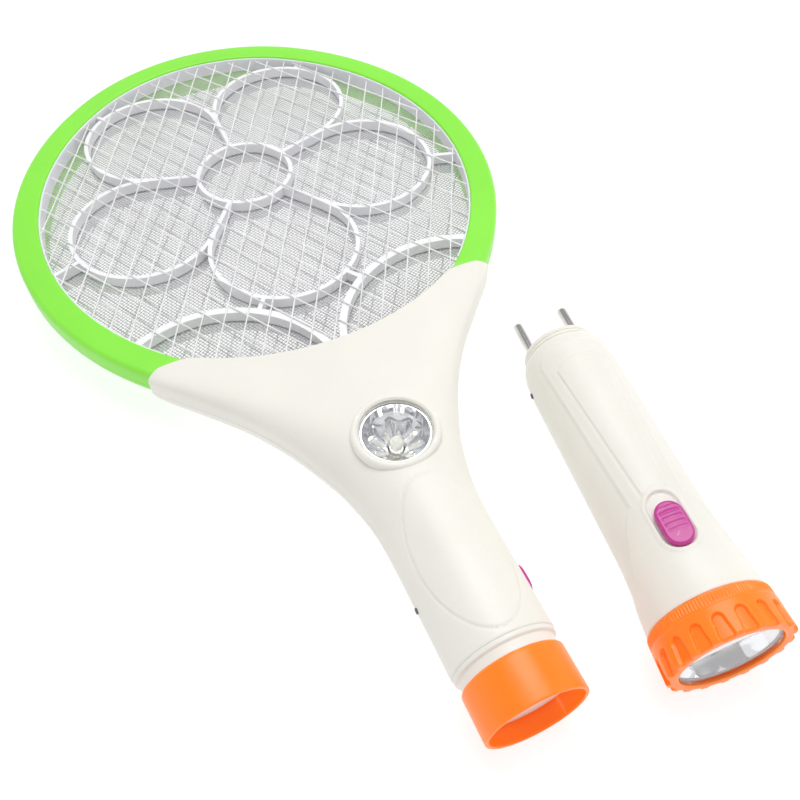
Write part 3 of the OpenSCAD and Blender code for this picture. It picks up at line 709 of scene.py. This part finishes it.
def badge(points):
    """A raised oval on top of the grip, with a fine groove round it."""
    cx, cy, a, b = BADGE
    x, y = points[..., 0] - cx, points[..., 1] - cy
    q = np.sqrt((x / a) ** 2 + (y / b) ** 2) + 1e-9
    away = (q - 1) * q / np.sqrt((x / a ** 2) ** 2 + (y / b ** 2) ** 2 + 1e-12)
    rise = 0.22 * smooth_step(0.5 - away / 0.8) - 0.34 * np.exp(-((away - 0.25) / 0.42) ** 2)
    return rise


def seam_chamfer(points, size=0.28):
    """Draws the first and last columns in a little, so that the seam shows."""
    points[:, 0, 0] -= size
    points[:, -1, 0] += size
    points[:, :, 2] = np.maximum(points[:, :, 2], 0.03)


def handle_shell(name, side):
    rear = side < 0
    edge = throat_edge(rear)
    nominal = np.concatenate((np.arange(HANDLE_END_Y + 0.6, -176, 0.62), np.arange(-176, -87, 1.25)))
    share = (nominal - nominal[0]) / (nominal[-1] - nominal[0])
    soft = 0.9
    tail = HANDLE_END_Y
    rows, backs = [], []
    for t in np.linspace(math.pi / 2, 0, 5)[:-1]:                # rounded tail
        y = np.full(SHELL_COLUMNS + 1, tail + 0.6 * (1 - math.sin(t)))
        rows.append(on_shell(y, 0.6 * (1 - math.cos(t)), rear))
        backs.append(on_shell(y, WALL, rear))
    for s in share:
        y = tail + 0.6 + (edge - soft - tail - 0.6) * s
        rows.append(on_shell(y, 0.0, rear))
        backs.append(on_shell(y, WALL, rear))
    for t in np.linspace(0, math.pi / 2, 6)[1:]:                 # rounded edge over the mesh
        y = edge - soft + soft * math.sin(t)
        rows.append(on_shell(y, soft * (1 - math.cos(t)), rear))
        backs.append(on_shell(y, WALL, rear))
    rows.append(on_shell(edge, WALL + 0.9, rear))
    backs.append(on_shell(edge - 1.2, WALL + 0.9, rear))
    outer, inner = np.array(rows), np.array(backs)
    if side > 0:
        rise = badge(outer)
        lean = outer.copy()
        lean[..., 1] = 0
        lean /= np.linalg.norm(lean, axis=2)[..., None]
        outer += lean * rise[..., None]
    seam_chamfer(outer)
    inner[:, :, 2] = np.maximum(inner[:, :, 2], 0.03)
    outer[..., 2] *= side
    inner[..., 2] *= side
    verts, faces = shell_solid(outer, inner)
    return mesh_object(name, verts, faces, RACKET, 50)


def button_cutter():
    outline = [(cx + 4.35 * dx, cy + 4.35 * dy) for (cx, cy), (dx, dy) in stadium(11.7, 8.7)]
    place = RACKET @ Matrix.Translation((0, BUTTON_Y, -0.4)) @ Matrix.Rotation(math.radians(90), 4, "Y")
    return prism("button_cutter", outline, 10, 30, place)


front = handle_shell("handle_front_shell", 1)
carve(front, [prism("lamp_cutter", circle(0, LAMP_Y, LAMP_R - 1.5), 5, 30, RACKET), button_cutter()])
dress(front, "ivory_shell", "racket", "front_shell")
rear = handle_shell("handle_rear_shell", -1)
screw_wells = [(24, -122), (-24, -122), (0, -184), (0, -228.6)]
carve(rear, [button_cutter()]
      + [prism("well_cutter", circle(x, y, 2.6, 40), -30, -6, RACKET) for x, y in screw_wells])
dress(rear, "ivory_shell", "racket", "rear_shell")


# ---------------------------------------------------------------- lamp in the throat

LAMP = RACKET @ Matrix.Translation((0, LAMP_Y, 0))
bezel_outline = rounded([(12.6, 12, 0), (14.1, 12, 0), (14.1, 15.4, 0), (LAMP_R - 0.1, 15.4, 0),
                         (LAMP_R - 0.1, 18.6, 1.5), (13.9, 18.6, 0.6), (13.1, 17.95, 0.1),
                         (13.1, 16.9, 0), (12.6, 16.9, 0)], 7)
dress(lathe("lamp_bezel_ring", bezel_outline, LAMP), "ivory_shell", "racket", "lamp_bezel")


def flutes(count, depth, inner, outer):
    """A radius that rises and falls count times round, most strongly between two heights."""
    def vary(r, z, angles):
        strength = smooth_step((z - inner) / 1.5) * smooth_step((outer - z) / 1.0)
        return r * (1 - depth * strength * np.abs(np.sin(angles * count / 2)))
    return vary


def facets(count, inner, outer):
    """A radius that makes count flat sides between two heights."""
    half = math.pi / count

    def vary(r, z, angles):
        strength = smooth_step((z - inner) / 1.5) * smooth_step((outer - z) / 1.0)
        flat = math.cos(half) / np.cos(angles % (2 * half) - half)
        return r * (1 + strength * (flat - 1))
    return vary


def reflector_outline(steps, lip, back):
    """Inside curve from the bottom up, then the outside of the moulding back down."""
    return steps + lip + back


bowl = [(3.0 + 7.1 * t, 6.4 + 6.2 * t ** 1.35) for t in np.linspace(0, 1, 14)]
lamp_bowl = lathe("lamp_bowl", reflector_outline(
    bowl, [(10.3, 12.7), (10.5, 12.9), (11.9, 16.1), (12.0, 16.38)],
    [(12.42, 16.38), (12.42, 15.6), (4.4, 5.3), (3.0, 5.3)]), LAMP, 160, 25, flutes(9, 0.13, 6.6, 12.8))
dress(lamp_bowl, "reflector", "racket", "lamp_reflector")
led_outline = [(0, 3.35), (2.85, 3.35), (2.85, 4.4), (2.5, 4.5), (2.5, 10)]
led_outline += [(2.5 * math.cos(t), 10 + 2.4 * math.sin(t)) for t in np.linspace(0.1, math.pi / 2, 10)]
dress(lathe("lamp_led_dome", led_outline, LAMP, 64), "led_resin", "racket", "lamp_led")
dome = [(0, 16.98)] + [(13.0, 16.98), (13.05, 17.3)]
dome += [(13.0 * math.cos(t), 17.3 + 0.55 * math.sin(t)) for t in np.linspace(0.05, math.pi / 2, 16)]
dress(lathe("lamp_cover_lens", dome, LAMP, 96), "clear_lens", "racket", "lamp_lens")


# ---------------------------------------------------------------- socket end of the handle

def end_z(y):
    """Height along ALONG_HANDLE of a place on the handle."""
    return -y


neck_outline = rounded([
    (13.0, end_z(HANDLE_END_Y + 6), 0), (HANDLE_R - WALL - 0.15, end_z(HANDLE_END_Y + 6), 0),
    (HANDLE_R - WALL - 0.15, end_z(HANDLE_END_Y + 0.05), 0),
    (HANDLE_R - 0.35, end_z(HANDLE_END_Y + 0.05), 0.2), (HANDLE_R - 0.35, end_z(HANDLE_END_Y - 1.4), 0.5),
    (16.6, end_z(HANDLE_END_Y - 1.9), 0.4), (16.6, end_z(HANDLE_END_Y - 5), 0),
    (15.9, end_z(HANDLE_END_Y - 5.05), 0), (15.9, end_z(MOUTH_Y + 6.32), 0.3),
    (14.6, end_z(MOUTH_Y + 6.32), 0.3), (14.6, end_z(HANDLE_END_Y - 5), 0),
    (13.0, end_z(HANDLE_END_Y - 5), 0)], 4)
dress(lathe("neck_sleeve", neck_outline, ALONG_HANDLE), "ivory_shell", "racket", "neck_ring")

collar_outline = rounded([
    (15.95, end_z(HANDLE_END_Y - 5.02), 0.2), (COLLAR_R, end_z(HANDLE_END_Y - 5.02), 1.2),
    (COLLAR_R, end_z(MOUTH_Y), 0.6), (16.2, end_z(MOUTH_Y), 0.5),
    (16.2, end_z(MOUTH_Y + 6.3), 0), (15.95, end_z(MOUTH_Y + 6.3), 0)], 7)
dress(lathe("socket_collar", collar_outline, ALONG_HANDLE), "orange_ring", "racket", "collar")


# ---------------------------------------------------------------- zap button

button_place = (RACKET @ Matrix.Translation((0, BUTTON_Y, -0.4))
                @ Matrix.Rotation(math.radians(90), 4, "Y"))
zap = key("zap_key", 11.0, 8.0, 12.95, 19.0, button_place, fillet=1.2, crown=0.25, ribs=4, pitch=1.8)
dress(zap, "magenta_key", "zap_button", "zap_button")


# ---------------------------------------------------------------- torch body

TORCH_LINE = [(14.9, 0), (15.9, 1), (16.7, 2.6), (17.3, 5), (17.7, 9), (17.9, 15), (17.9, 84),
              (18.1, 91), (18.6, 98), (19.3, 106), (20.2, TORCH_LENGTH)]
TORCH_COLUMNS = 170
TORCH_ROWS = 230


def capsule(s, z, length, width):
    """Distance outside a slot that runs along the torch."""
    half = (length - width) / 2
    return np.hypot(s, np.maximum(np.abs(z - RECESS_Z) - half, 0)) - width / 2


def torch_relief(s, z, top):
    """Height of the moulded details above the plain body, s being the way round from the top."""
    rise = np.zeros_like(s)
    side = np.abs(s)
    panel_half = 8.9 - (z - 15) * 0.071
    inside = panel_half - side
    arch = np.hypot(s, np.maximum(27 - z, 0)) - 13
    panel = np.minimum(inside, np.minimum(-arch, 76 - z)) if top else np.full_like(s, -1.0)
    panel = np.where(z > 27, np.minimum(inside, 76 - z), panel) if top else panel
    rise += 0.34 * smooth_step((panel + 0.15) / 0.5)
    rise -= 0.16 * np.exp(-((panel + 0.5) / 0.4) ** 2) * (1 if top else 0)
    facet_line = 14.2 - (z - 8) * 0.062
    facet_end = 78 + 30 * smooth_step((side - 9) / 21)
    corner = 6
    facet = np.hypot(np.maximum(side - facet_line + corner, 0), np.maximum(6.5 - z + corner, 0)) - corner
    facet = np.minimum(facet, facet_end - z)
    rise -= 0.5 * smooth_step((facet + 0.6) / 1.7)
    rise += 0.14 * np.exp(-((facet + 0.9) / 0.5) ** 2)
    if top:
        lip = capsule(s, z, 23.5, 13.5)
        well = capsule(s, z, 21, 11)
        rise = rise * smooth_step(lip / 1.5) + 0.3 * smooth_step((0.6 - lip) / 0.6)
        rise -= 1.05 * smooth_step((0.25 - well) / 0.5)
    return rise


def torch_shell(name, side):
    line = np.array(TORCH_LINE)
    z = np.concatenate((np.linspace(0, 15, 34), np.linspace(15, TORCH_LENGTH - 0.5, TORCH_ROWS)[1:]))
    phi = np.linspace(0, math.pi, TORCH_COLUMNS + 1)
    z_grid, phi_grid = np.meshgrid(z, phi, indexing="ij")
    plain = np.interp(z_grid, line[:, 1], line[:, 0])
    s = plain * (phi_grid - math.pi / 2)
    r = plain + torch_relief(s, z_grid, side > 0)
    for k, t in enumerate(np.linspace(0, math.pi / 2, 4)[1:]):
        z_end = TORCH_LENGTH - 0.5 + 0.45 * math.sin(t)
        z_grid = np.vstack((z_grid, np.full(TORCH_COLUMNS + 1, z_end)))
        r = np.vstack((r, r[len(z) - 1] - 0.45 * (1 - math.cos(t))))
    phi_grid = np.tile(phi, (len(z_grid), 1))
    r[:, 0] -= 0.28
    r[:, -1] -= 0.28
    outer = np.dstack((r * np.cos(phi_grid), r * np.sin(phi_grid), z_grid))
    back = np.maximum(np.minimum(r.min(axis=1)[:, None] - 1.4, np.full_like(r, 16.4)), 12.3)
    inner = np.dstack((back * np.cos(phi_grid), back * np.sin(phi_grid), z_grid))
    for points in (outer, inner):
        points[..., 1] = np.maximum(points[..., 1], 0.03)
    if side < 0:
        outer[..., 1] *= -1
        inner[..., 1] *= -1
    verts, faces = shell_solid(outer, inner)
    return mesh_object(name, verts, faces, TORCH, 50)


dress(torch_shell("torch_front_half", 1), "ivory_shell", "torch", "torch_front_shell")
dress(torch_shell("torch_rear_half", -1), "ivory_shell", "torch", "torch_rear_shell")

cap_outline = rounded([
    (0, -NECK_H, 0), (13.9, -NECK_H, 1.3), (14.1, -2.4, 0.2), (13.6, -2.1, 0.1), (13.6, -1.8, 0.1),
    (14.3, -1.5, 0.2), (14.3, -0.5, 0.2), (13.8, -0.3, 0.1), (13.8, -0.03, 0), (12.1, -0.03, 0),
    (12.1, 6, 0), (0, 6, 0)], 5)
cap = lathe("plug_cap_moulding", cap_outline, TORCH)
carve(cap, [prism("pin_cutter", circle(x, 0, PIN_R - 0.2, 40), -8, 8, TORCH) for x in (-PIN_X, PIN_X)])
dress(cap, "ivory_shell", "torch", "plug_cap")


def pins():
    """Both plug pins: bright round bars with domed ends and a groove at the foot."""
    tip = -NECK_H - PIN_LENGTH
    outline = [(0, 5.5), (PIN_R - 0.3, 5.5), (PIN_R - 0.3, -NECK_H - 0.02), (PIN_R, -NECK_H - 0.02),
               (PIN_R, -NECK_H - 0.3), (PIN_R, tip + PIN_R)]
    outline += [(PIN_R * math.cos(t), tip + PIN_R - PIN_R * math.sin(t))
                for t in np.linspace(0.12, math.pi / 2, 9)]
    both = [lathe("plug_pin_pair", outline, TORCH @ Matrix.Translation((x, 0, 0)), 48)
            for x in (-PIN_X, PIN_X)]
    work = bmesh.new()
    for pin in both:
        work.from_mesh(pin.data)
    work.to_mesh(both[0].data)
    work.free()
    bpy.data.objects.remove(both[1], do_unlink=True)
    finish_shading(both[0].data, 40)
    return both[0]


dress(pins(), "plated_pin", "torch", "plug_pins")

slider_place = (TORCH @ Matrix.Translation((0, 17.6, SLIDER_Z)) @ Matrix.Rotation(math.radians(-90), 4, "X"))
slider = key("torch_slide_key", 16, 9.4, 0.02, 2.2, slider_place, fillet=0.9, crown=0.25, ribs=4, pitch=2.1,
             rib=0.22, middle=1.6)
dress(slider, "magenta_key", "torch_slider", "torch_slider")


# ---------------------------------------------------------------- lamp end of the torch

FLUTES = 18
FLUTE_TOP = 122.8
BAND_END = 118.0


def bezel_radius(r, z, angles):
    """Fine ribs round the back band, and arched flutes that run out at the front."""
    if r < BEZEL_BORE + 0.6:
        return np.full(len(angles), r)
    if z < BAND_END:
        middle = smooth_step((z - TORCH_LENGTH - 0.6) / 0.5) * smooth_step((BAND_END - 0.3 - z) / 0.5)
        return r - 0.13 + 0.13 * middle * np.cos(angles * FLUTES * 7)
    pitch = 2 * math.pi / FLUTES
    from_middle = (angles + pitch / 2) % pitch - pitch / 2
    reach = np.hypot(BEZEL_R * np.abs(from_middle), max(FLUTE_TOP - z, 0))
    half_width = 2.25 + 0.5 * smooth_step((z - FLUTE_TOP) / 6)
    return r - 1.15 * smooth_step((half_width - reach) / 0.8)


def bezel_cone(z):
    return 20.75 + (BEZEL_R - 20.75) * (z - TORCH_LENGTH) / 14


band = [TORCH_LENGTH + 0.2, TORCH_LENGTH + 0.45] + list(np.linspace(TORCH_LENGTH + 0.7, BAND_END - 0.1, 12))
skirt = [BAND_END + 0.1, BAND_END + 0.35] + list(np.linspace(BAND_END + 0.6, BEZEL_END - 0.85, 44))
bezel_outline = [(BEZEL_BORE, band[0]), (20.3, band[0])] + [(bezel_cone(z), z) for z in band[1:]]
bezel_outline += [(bezel_cone(z) + (0.02 if z > BAND_END + 0.2 else -0.15), z) for z in skirt]
lip = BEZEL_END - 0.85
bezel_outline += [(bezel_cone(lip) - 0.75 * (1 - math.cos(t)), lip + 0.8 * math.sin(t))
                  for t in np.linspace(0.3, math.pi / 2, 5)]
bezel_outline += [(19.39, BEZEL_END - 0.04), (18.6, BEZEL_END - 0.04), (17.75, BEZEL_END - 0.04),
                  (17.35, BEZEL_END - 0.35), (17.3, 127.0), (BEZEL_BORE, 126.95)]
bezel = lathe("torch_bezel_ring", bezel_outline, TORCH, FLUTES * 48, 40, bezel_radius)
dress(bezel, "orange_ring", "torch_bezel", "torch_bezel")

deep = [(5.4 + 11.6 * t, 108.9 + 14.6 * t ** 1.3) for t in np.linspace(0, 1, 22)]
torch_bowl = lathe("torch_bowl", reflector_outline(
    deep, [(17.2, 124.15)], [(18.35, 124.15), (18.35, 123.0), (6.0, 107.6), (2.45, 107.6), (2.45, 108.9)]),
    TORCH, 240, 20, facets(12, 109.5, 124.0))
dress(torch_bowl, "reflector", "torch", "torch_reflector")
lens_outline = rounded([(0, 125.15, 0), (18.5, 125.15, 0.2), (18.5, 126.65, 0.3), (17.1, 126.65, 0),
                        (17.1, 128.25, 0.5), (0, 128.28, 0)], 4)
dress(lathe("torch_front_lens", lens_outline, TORCH, 128), "clear_lens", "torch", "torch_lens")


# ---------------------------------------------------------------- CAD nodes that stay as they are

def soften(obj, width):
    """Takes the edges off a CAD node without touching its own points."""
    modifier = obj.modifiers.new("edges", "BEVEL")
    modifier.width = width * MM
    modifier.segments = 2
    modifier.limit_method = "ANGLE"
    modifier.angle_limit = math.radians(50)


slots = {s["node"]: s["material_slot"] for s in record["subparts"]}
for node_name, node in frame["nodes"].items():
    for material_slot in node.material_slots:
        material_slot.material = MATERIALS[slots[node_name]]
for node_name in ("front_spacer", "rear_spacer"):
    soften(frame["nodes"][node_name], 0.25)


# ---------------------------------------------------------------- floor, light and camera

def floor():
    mesh = bpy.data.meshes.new("floor")
    size = 6.0
    mesh.from_pydata([(-size, -size, 0), (size, -size, 0), (size, size, 0), (-size, size, 0)], [],
                     [(0, 1, 2, 3)])
    n = Nodes("floor_paper")
    n.join(n.ramp(n.noise(3), [(0.3, (0.29, 0.29, 0.29)), (0.7, (0.31, 0.31, 0.31))]),
           n.shader.inputs["Base Color"])
    n.shader.inputs["Roughness"].default_value = 0.9
    n.shader.inputs["Specular IOR Level"].default_value = 0.0
    n.shader.inputs["Emission Color"].default_value = (1, 1, 1, 1)
    n.shader.inputs["Emission Strength"].default_value = 0.8
    mesh.materials.append(n.material)
    obj = bpy.data.objects.new("floor", mesh)
    obj.location.z = -0.0004
    bpy.context.scene.collection.objects.link(obj)


def area_light(name, place, target, size, power, colour=(1, 1, 1)):
    light = bpy.data.lights.new(name, "AREA")
    light.shape = "DISK"
    light.size = size
    light.energy = power
    light.color = colour
    obj = bpy.data.objects.new(name, light)
    obj.location = place
    obj.rotation_euler = (Vector(target) - Vector(place)).to_track_quat("-Z", "Y").to_euler()
    bpy.context.scene.collection.objects.link(obj)


def studio():
    world = bpy.data.worlds.new("studio")
    world.use_nodes = True
    tree = world.node_tree
    background = tree.nodes["Background"]
    background.inputs["Strength"].default_value = 0.8
    # pale at the horizon, greyer above it and pale again overhead, so that metal has something to mirror
    split = tree.nodes.new("ShaderNodeSeparateXYZ")
    ramp = tree.nodes.new("ShaderNodeValToRGB")
    stops = ((0.0, 0.97), (0.34, 0.97), (0.55, 0.42), (0.72, 0.42), (0.9, 1.0))
    elements = ramp.color_ramp.elements
    while len(elements) < len(stops):
        elements.new(0.5)
    for element, (height, grey) in zip(elements, stops):
        element.position = height
        element.color = (grey, grey, grey, 1)
    tree.links.new(tree.nodes.new("ShaderNodeTexCoord").outputs["Generated"], split.inputs["Vector"])
    tree.links.new(split.outputs["Z"], ramp.inputs["Fac"])
    tree.links.new(ramp.outputs["Color"], background.inputs["Color"])
    bpy.context.scene.world = world
    area_light("overhead", (0.25, 0.35, 1.5), (0, 0, 0), 1.1, OVERHEAD_WATTS)
    area_light("right_fill", (1.4, -0.5, 0.8), (0, 0, 0), 0.8, FILL_WATTS)
    bpy.context.scene.view_settings.view_transform = "Standard"


def camera():
    """At the angle that shows the racket from behind its handle, leaning a little to the left."""
    data = bpy.data.cameras.new("camera")
    data.sensor_width = 36
    data.lens = 39.42
    data.clip_start = 0.01
    obj = bpy.data.objects.new("camera", data)
    place = RACKET @ Vector((-65.58, -320.87, 255.20 + RIM_H))
    right = Vector((0.91118618, -0.41132475, -0.02348815))
    up = Vector((0.33949988, 0.71733342, 0.60841811))
    back = right.cross(up)
    turn = Matrix((right, up, back)).transposed().to_4x4()
    obj.matrix_world = Matrix.Translation(place) @ turn
    bpy.context.scene.collection.objects.link(obj)
    bpy.context.scene.camera = obj


floor()
studio()
camera()
